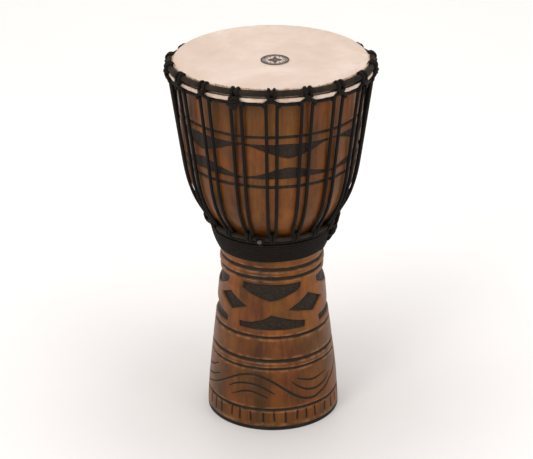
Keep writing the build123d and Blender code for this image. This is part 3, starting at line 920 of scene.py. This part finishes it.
def make_head(skin):
    """The hide: a taut disc, its rim and collar, then folded round the flesh ring to a trimmed edge."""
    around = 360
    waves = ragged_waves(8, (7, 13, 22, 37, 61, 90))
    rows = []
    for share in [*np.linspace(0.02, 0.9, 26), 0.94, 0.965, 0.98]:
        rows.append(("flat", share * (COLLAR_RADIUS - RIM_BEND), HEAD_Z))
    for turn in np.linspace(15, 90, 6):
        out = COLLAR_RADIUS - RIM_BEND + RIM_BEND * sin(radians(turn))
        rows.append(("flat", out, HEAD_Z - RIM_BEND * (1 - cos(radians(turn)))))
    rows += [("collar", 0.35, 0), ("collar", 0.75, 0)]
    rows += [("fold", turn, FLESH_WRAP) for turn in np.linspace(172, 395, 22)]
    verts = [Vector((0, 0, HEAD_Z))]
    rim_stain_and_shade = [0.0]
    for kind, first, second in rows:
        for k in range(around):
            angle = 360 * k / around
            a = radians(angle)
            rough = ragged(waves, a) / len(waves)
            if kind == "flat":
                place = round_drum(angle, first, second)
                # The rim browns towards the edge; its growth towards the back right, away from the key light,
                # is painted shade.
                edge = 0.34 * min(max((first - 0.112) / 0.04, 0), 1) ** 2 * (1 - 0.5 * cos(a + 0.9))
            elif kind == "collar":
                start = round_drum(angle, COLLAR_RADIUS, HEAD_Z - RIM_BEND)
                place = start.lerp(on_rings(angle, FLESH_RADIUS - FLESH_WRAP, -FLESH_DROP), first)
                edge = 0.5
            else:
                pucker = 1 + 0.05 * sin(54 * a + 3 * rough) * (first > 200)
                out = second * cos(radians(first)) * pucker
                up = second * sin(radians(first)) * pucker
                place = on_rings(angle, FLESH_RADIUS + out, -FLESH_DROP + up)
                edge = 0.35 + 0.4 * (first > 360)
            verts.append(place)
            rim_stain_and_shade.append(edge)
    faces = [(0, 1 + k, 1 + (k + 1) % around) for k in range(around)]
    faces += ring_faces(len(rows), around, first=1, flip=True)
    head = new_piece("goatskin", verts, faces, None, skin, ("goatskin_head",))
    add_values(head.data, "rim_stain_and_shade", rim_stain_and_shade)
    thicken(head, HIDE_THICKNESS)
    normal = TILT @ Vector((0, 0, 1))
    start = Vector((0, 0, CROWN_Z)) - normal * 0.0042
    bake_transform(head)


def make_skin_trim(skin):
    """The hide's trimmed edge, standing up ragged between the rim and the crown ring."""
    around = 720
    waves = ragged_waves(17, (5, 9, 17, 29, 43, 71, 113, 160))
    stains = (0.6, 0.6, 0.7, 1.2, 2.4)
    verts, rim_stain_and_shade = [], []
    for row, stain in enumerate(stains):
        share = row / 4
        for k in range(around):
            angle = 360 * k / around
            rough = ragged(waves, radians(angle)) / 3
            height = -0.0075 + share * (0.0118 + 0.0014 * rough)
            radius = COLLAR_RADIUS + 0.0006 + share * (0.0004 + 0.0006 * rough)
            verts.append(on_rings(angle, radius, height))
            rim_stain_and_shade.append(stain)
    faces = ring_faces(len(stains), around)
    trim = new_piece("skin_trim", verts, faces, "rings", skin)
    add_values(trim.data, "rim_stain_and_shade", rim_stain_and_shade)
    thicken(trim, TRIM_THICKNESS)


def make_stamp(ink):
    """A plain stamp on the skin: two rings, twelve dots and four diamonds, each a thin film of ink."""
    centre = Vector((0.0062, -0.0098, HEAD_Z + 0.00105))
    verts, faces = [], []

    def film(outline):
        base = len(verts)
        count = len(outline)
        for lift in (0.0, 0.0002):
            verts.extend(centre + Vector((x, y, lift)) for x, y in outline)
        faces.append(tuple(base + count + k for k in range(count)))
        for k in range(count):
            m = (k + 1) % count
            faces.append((base + k, base + m, base + count + m, base + count + k))

    def band(outer, inner):
        base = len(verts)
        count = len(outer)
        for outline, lift in ((outer, 0.0), (outer, 0.0002), (inner, 0.0002), (inner, 0.0)):
            verts.extend(centre + Vector((x, y, lift)) for x, y in outline)
        faces.extend(ring_faces(4, count, first=base))

    def circle(radius, count=48, x=0.0, y=0.0):
        turns = [2 * pi * k / count for k in range(count)]
        return [(x + radius * cos(a), y + radius * sin(a)) for a in turns]

    band(circle(0.0225, 64), circle(0.0196, 64))
    band(circle(0.0180, 64), circle(0.0168, 64))
    for k in range(12):
        a = radians(30 * k)
        film(circle(0.0013, 12, 0.0144 * cos(a), 0.0144 * sin(a)))
    for k in range(4):
        a = radians(90 * k)
        tip, wide = 0.0118, 0.0044
        shape = [(0.0012, 0), (0.0060, -wide), (tip, 0), (0.0060, wide)]
        film([(x * cos(a) - y * sin(a), x * sin(a) + y * cos(a)) for x, y in shape])
    return new_piece("ring_stamp", verts, faces, "drum", ink, smooth=False)


def ink_material():
    n = Nodes("stamp_ink")
    worn = n.noise(n.place, 900.0, 4.0, 0.7)
    colour = n.ramp(worn, (0.50, (0.028, 0.022, 0.020)), (0.75, (0.17, 0.125, 0.105)))
    return n.finish(colour, 0.6, n.bump(worn, 0.2, 0.0001))


# ---- rings and ropes ----------------------------------------------------------------------------


def ring_line(radius, height, count):
    return [on_rings(360 * k / count, radius, height) for k in range(count)]


def level_ring(radius, height, count):
    return [round_drum(360 * k / count, radius, height) for k in range(count)]


def make_rods(steel):
    """The bare steel of both upper rings, inside the tape and the folded hide."""
    for node, line, radius in (
        ("crown_ring", ring_line(CROWN_RADIUS, -TAPE_DROP, 180), CROWN_ROD),
        ("flesh_ring", ring_line(FLESH_RADIUS, -FLESH_DROP, 180), FLESH_ROD),
    ):
        verts, faces, _ = tube(line, radius, True, 10)
        new_piece(f"{node}_rod", verts, faces, "rings", steel, (node,))


def make_crown_wrap(tape):
    """The tape round the crown ring, each turn standing up a little on the one before."""
    count, around = 540, 14
    centres = ring_line(CROWN_RADIUS, -TAPE_DROP, count)
    verts, faces, uvs = tube(centres, CROWN_WRAP, True, around, pitch=TAPE_LAY)
    shaped = []
    for i, v in enumerate(verts):
        ring, k = divmod(i, around)
        lay = (ring / count * 2 * pi * CROWN_RADIUS / TAPE_LAY * 0.42 * 2 + 2 * k / around) % 1.0
        shaped.append(centres[ring] + (Vector(v) - centres[ring]) * (1 + 0.10 * lay - 0.02))
    rope_piece("crown_wrap", [(shaped, faces, uvs)], "rings", tape, ("crown_ring_wrap",))


WRAP_ASIDE = 0.0045
HOOK_ASIDE = 0.0120
HOOK_DROP = TOP_RUN_DROP + ROPE + 0.0006
CROSS_INNER = FLESH_RADIUS + FLESH_WRAP + LOOP_CORD * 0.6
CROSS_OUTER = CROSS_INNER + 1.5 * LOOP_CORD
TURN = CROWN_WRAP + LOOP_CORD * 0.62


def loop_half(side, cross, lift, sway, wrap):
    """Half a crown loop's corners, from behind the rope's level run up and over the crown ring."""
    front, back = TOP_RUN_RADIUS + ROPE + 0.0006, TOP_RUN_RADIUS - ROPE
    places = [
        (0.0030 * side, back + 0.0025, -TOP_RUN_DROP + 0.0044),
        (0.0080 * side, back + 0.0010, -TOP_RUN_DROP + 0.0028),
        (HOOK_ASIDE * side, back, -HOOK_DROP),
        (HOOK_ASIDE * side, front, -HOOK_DROP + 0.0004),
        ((HOOK_ASIDE - 0.0012) * side, front + lift, -TOP_RUN_DROP + 0.0022),
        (0.0066 * side + sway, cross, -FLESH_DROP - 0.0022),
        (-0.0046 * side + sway, cross, -FLESH_DROP + 0.0034),
    ]
    for angle in (-35, 5, 45, 85, 125, 165, 205):
        out, up = TURN * 1.07 * cos(radians(angle)), TURN * 1.07 * sin(radians(angle))
        places.append((-wrap * side, CROWN_RADIUS + out, up - TAPE_DROP))
    places.append((-wrap * side, CROWN_RADIUS - 0.0020, -0.0070))
    return places


def loop_route(draw):
    """One crown loop's corners, in the same order as the cord runs."""
    sway = draw.uniform(-0.0006, 0.0006)
    wrap = WRAP_ASIDE * draw.uniform(0.88, 1.0)
    inner = loop_half(-1, CROSS_INNER, 0.0008, sway, wrap)
    outer = loop_half(1, CROSS_OUTER, 0.0010, sway, wrap)
    return inner + outer[::-1]


def on_ring_places(angle, places):
    return [on_rings(aside(angle, along), radius, up) for along, radius, up in places]


def make_crown_loops(rope):
    """The cord at each knot: two turns over the crown ring, a bar across them, and the end knot."""
    draw = random.Random(21)
    for knot in range(KNOTS):
        angle = knot * KNOT_STEP
        line = rounded_route(on_ring_places(angle, loop_route(draw)), True, 0.0012)
        parts = [tube(line, LOOP_CORD * 1.04, True, 10, wobble=0.05)]
        bar = [(-0.0058, CROWN_RADIUS + 0.0025, -0.0066), (-0.0056, CROWN_RADIUS + 0.0072, -0.0064)]
        bar += [(0.0, CROWN_RADIUS + 0.0086, -0.0072)]
        bar += [(0.0056, CROWN_RADIUS + 0.0072, -0.0064), (0.0058, CROWN_RADIUS + 0.0025, -0.0066)]
        line = rounded_route(on_ring_places(angle, bar), False, 0.0012)
        parts.append(tube(line, LOOP_CORD * 0.9, False, 10))
        if knot == END_KNOT:
            parts += end_knot_parts(angle)
        name = f"crown_loop_{knot + 1:02d}"
        rope_piece(f"{name}_cord", parts, "rings", rope, (name,))


def end_knot_parts(angle):
    """Turns of cord wound into a barrel, with a rounded end."""
    parts = []
    height = -0.0085
    for turn in range(3):
        wide = 0.0066 - 0.0004 * turn
        loop = []
        for k in range(28):
            a = 2 * pi * k / 28
            level = height + 0.0012 * cos(a) - turn * 0.0046
            loop.append(on_rings(aside(angle, wide * cos(a)), 0.1672 + 0.0036 * sin(a), level))
        parts.append(tube(loop, LOOP_CORD, True, 10, wobble=0.05))
    centre = on_rings(angle, 0.1682, height - 0.0125)
    out = round_drum(angle, 1, 0)
    across = round_drum(angle + 90, 1, 0)
    spiral = []
    for k in range(61):
        a = 2 * pi * k / 24
        wide = 0.0056 * (1 - k / 72)
        flat = across * wide * cos(a) + Vector((0, 0, wide * sin(a)))
        spiral.append(centre + flat + out * (0.0004 + 0.0022 * k / 60))
    parts.append(tube(spiral, LOOP_CORD, False, 10, wobble=0.05))
    return parts


LEG_CORNERS = [(140.8, 449), (137.1, 425), (131.1, 400), (122.8, 379), (112.5, 361)]


def rope_leg(angle, lean, side):
    """One leg's corners, from its bottom turn up to the level run; side is 1 or -1, towards the run."""
    corners = [round_drum(angle - 0.9 * side, TURN_RADIUS, TURN_Z)]
    corners.append(round_drum(angle, TURN_RADIUS + 0.0006, TURN_Z + 0.0015))
    for radius, height in reversed(LEG_CORNERS):
        leaning = angle + lean * (height - 347) / 240
        corners.append(round_drum(leaning, radius * MM + 0.0006, height * MM))
    high = on_rings(angle, TOP_RUN_RADIUS, -TOP_RUN_DROP - 0.004)
    corners.append(corners[-1].lerp(high, 0.45 if side > 0 else 0.55))
    corners.append(high)
    corners.append(on_rings(angle + 0.5 * side, TOP_RUN_RADIUS + 0.0002, -TOP_RUN_DROP - 0.0002))
    corners.append(on_rings(angle + 2.2 * side, TOP_RUN_RADIUS, -TOP_RUN_DROP))
    return corners


def make_long_rope(rope):
    """The laced rope, as one piece along its real route; each leg sways a little."""
    draw = random.Random(4)
    points = []
    for step in range(KNOTS):
        angle = (TIE_OFF_KNOT + step) * KNOT_STEP
        lean_up = draw.uniform(-0.5, 0.5)
        lean_down = draw.uniform(-0.5, 0.5)
        sag = draw.uniform(-0.0006, 0.0004)
        points += rope_leg(angle + LEG_ANGLE, lean_up, 1)
        points.append(on_rings(angle + KNOT_STEP / 2, TOP_RUN_RADIUS + 0.0004, -TOP_RUN_DROP + sag))
        points += rope_leg(angle + KNOT_STEP - LEG_ANGLE, lean_down, -1)[::-1]
    line = rounded_route(points, False, 0.0024)
    parts = [tube(line, ROPE * 1.03, False, 9)]
    laced = rope_piece("laced_rope", parts, None, rope, ("long_rope",))
    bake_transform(laced)


def make_bottom_loops(rope):
    """The cord at each bottom turn: two rounds, slanted as the bowl is there."""
    draw = random.Random(33)
    for knot in range(KNOTS):
        angle = knot * KNOT_STEP
        parts = []
        for offset in (-0.0025, 0.0025):
            points = []
            for turn in range(0, 360, 30):
                a = radians(turn)
                up = 0.0098 * sin(a) + 0.0029
                out = 0.0046 * cos(a)
                radius = BOTTOM_RING_RADIUS + 0.423 * up + 0.906 * out + 0.0004
                height = BOTTOM_RING_Z + 0.906 * up - 0.423 * out
                along = aside(angle, offset + draw.uniform(-0.0002, 0.0002), TURN_RADIUS)
                points.append(round_drum(along, radius, height))
            line = rounded_route(points, True, 0.0012)
            parts.append(tube(line, BOTTOM_CORD, True, 9, wobble=0.05))
        name = f"bottom_loop_{knot + 1:02d}"
        rope_piece(f"{name}_cord", parts, "drum", rope, (name,))


def make_bottom_ring(tape):
    """The lower steel ring under its own wrapping of cord, seen between the loops."""
    line = level_ring(BOTTOM_RING_RADIUS, BOTTOM_RING_Z, 240)
    parts = [tube(line, BOTTOM_WRAP, True, 12, pitch=TAPE_LAY)]
    rope_piece("bottom_ring_wrap", parts, "drum", tape, ("bottom_ring",))


def make_waist_winding(rope):
    """The spare rope: one climbing coil round the waist, packed turns beneath and two loose ones on top."""
    turns = 9
    low = (0.0860, 0.2928)
    high = (0.0978, 0.3306)
    points = []
    per_turn = 72
    for step in range(turns * per_turn + 1):
        t = step / per_turn
        share = t / turns
        a = 360 * t + 65
        sag = 0.0005 * sin(radians(a * 3 + 40)) + 0.0003 * sin(radians(a * 7))
        radius = low[0] + (high[0] - low[0]) * share + 0.0014 * sin(pi * share)
        height = low[1] + (high[1] - low[1] - 0.003) * share + sag * 0.6
        points.append(round_drum(a, radius, height))
    outer = tube(points, ROPE * 0.80, False, 10)
    packing = []
    for turn in range(6):
        share = (turn + 0.5) / 6
        radius = low[0] + (high[0] - low[0]) * share - 0.0040
        height = low[1] + (high[1] - low[1]) * share + 0.0012
        packing.append(tube(level_ring(radius, height, 90), ROPE * 1.15, True, 8))
    upper = []
    for turn, (radius, height) in enumerate(((0.0990, 0.3336), (0.0950, 0.3345))):
        ring = []
        for k in range(120):
            level = height + 0.0006 * sin(k * 0.21 + turn)
            ring.append(round_drum(360 * k / 120, radius + 0.0003 * sin(k * 0.5), level))
        upper.append(tube(ring, ROPE * 0.95, True, 9))
    rope_piece("waist_coil", [outer, *packing, *upper], "drum", rope, ("waist_winding",))


def make_tie_off(rope):
    """The rope's end: over the bottom ring, down beside the winding, and hitched back on itself."""
    route = [
        (76, 0.1105, 0.358), (75, 0.1100, 0.345), (74, 0.1055, 0.332), (73, 0.1015, 0.317), (70, 0.0950, 0.308),
    ]
    line = rounded_route([round_drum(*p) for p in route], False, 0.0012)
    parts = [tube(line, ROPE, False, 10, wobble=0.04)]
    back = [
        (58, 0.0985, 0.333), (65, 0.1020, 0.335), (72, 0.1065, 0.334), (77, 0.1060, 0.328),
        (78, 0.1030, 0.321), (74, 0.1020, 0.317), (69, 0.0985, 0.318), (64, 0.0950, 0.320),
    ]
    line = rounded_route([round_drum(*p) for p in back], False, 0.0012)
    parts.append(tube(line, ROPE, False, 10, wobble=0.04))
    hitch = []
    for k in range(70):
        a = 2 * pi * k / 20
        drop = k / 70 * 0.0150
        along = degrees((0.0058 * cos(a)) / TURN_RADIUS)
        hitch.append(round_drum(73.5 + along, 0.1030 + 0.0040 * sin(a) - drop * 0.25, 0.3340 - drop))
    parts.append(tube(hitch, ROPE * 0.96, False, 9, wobble=0.04))
    rope_piece("tie_off", parts, "drum", rope, ("tie_off_end",))


def make_stopper(rope, sealed):
    """An overhand knot in the bottom cord, with its cut end melted pale."""
    centre = round_drum(-10.2, 0.1080, 0.3388)
    out = round_drum(-11.5, 1, 0)
    across = round_drum(78.5, 1, 0)
    up = Vector((0, 0, 1))
    points = []
    for k in range(40):
        t = 2 * pi * k / 40
        x = 0.0021 * (sin(t) + 2 * sin(2 * t))
        y = 0.0021 * (cos(t) - 2 * cos(2 * t))
        w = -0.0016 * sin(3 * t) * 1.2
        points.append(centre + across * x + up * y + out * w)
    parts = [tube(points, STOPPER_CORD, True, 10, wobble=0.05)]
    tail = [centre - out * 0.0095 + up * 0.001, centre - out * 0.004]
    tail += [centre + out * 0.001 + up * 0.001, centre + out * 0.004 + up * 0.0018]
    parts.append(tube(rounded_route(tail, False, 0.001), STOPPER_CORD, False, 10))
    rope_piece("stopper", parts, "drum", rope, ("stopper_knot",))
    tip = [(0.0032, 0.0015), (0.0046, 0.0018), (0.0056, 0.0021)]
    tip = [centre + out * ahead + up * lift for ahead, lift in tip]
    verts, faces, uvs = tube(rounded_route(tip, False, 0.0004), 0.0036, False, 16)
    new_piece("sealed_tip", verts, faces, "drum", sealed)


def sealed_material():
    n = Nodes("melted_end")
    tone = n.noise(n.place, 700.0, 4.0, 0.6)
    colour = n.ramp(tone, (0.38, (0.016, 0.011, 0.007)), (0.70, (0.13, 0.088, 0.060)))
    return n.finish(colour, 0.35, n.bump(tone, 0.5, 0.0003))


def make_tyre(rubber):
    """The rubber foot ring, with a rounded lip and a fine moulded rib."""
    section = [
        (94.0, 0.6), (94.6, 0.0), (107.0, 0.0), (107.6, 0.6), (107.75, 2.0), (107.55, 2.6), (107.75, 3.2),
        (107.7, 5.6), (107.3, 6.4), (106.2, 6.5), (105.3, 6.3), (105.25, 3.05), (94.5, 3.0), (94.0, 2.4),
    ]
    around = 240
    verts = [round_drum(360 * k / around, r * MM, h * MM) for r, h in section for k in range(around)]
    faces = ring_faces(len(section), around, wrap=True)
    new_piece("rubber_foot", verts, faces, "drum", rubber, ("foot_tyre",))


# ---- the scene ----------------------------------------------------------------------------------

make_camera()
make_studio()
make_floor()

stains = (0.228, 0.078, 0.0135), (0.166, 0.055, 0.0092), (0.088, 0.029, 0.0062)
wood = wood_material("carved_wood", *stains, 0.10)
raw = raw_wood_material()
skin = goatskin_material()
rope = rope_material("black_rope", (0.0022, 0.0016, 0.0011, 1), (0.0125, 0.0088, 0.0058, 1))
tape = tape_material()
steel = steel_material()

make_shell(wood, raw)
make_tyre(rubber_material())
make_head(skin)
make_skin_trim(skin)
make_stamp(ink_material())
make_crown_wrap(tape)
make_crown_loops(rope)
make_long_rope(rope)
make_bottom_ring(tape)
make_bottom_loops(rope)
make_waist_winding(rope)
make_tie_off(rope)
make_stopper(rope, sealed_material())
make_rods(steel)
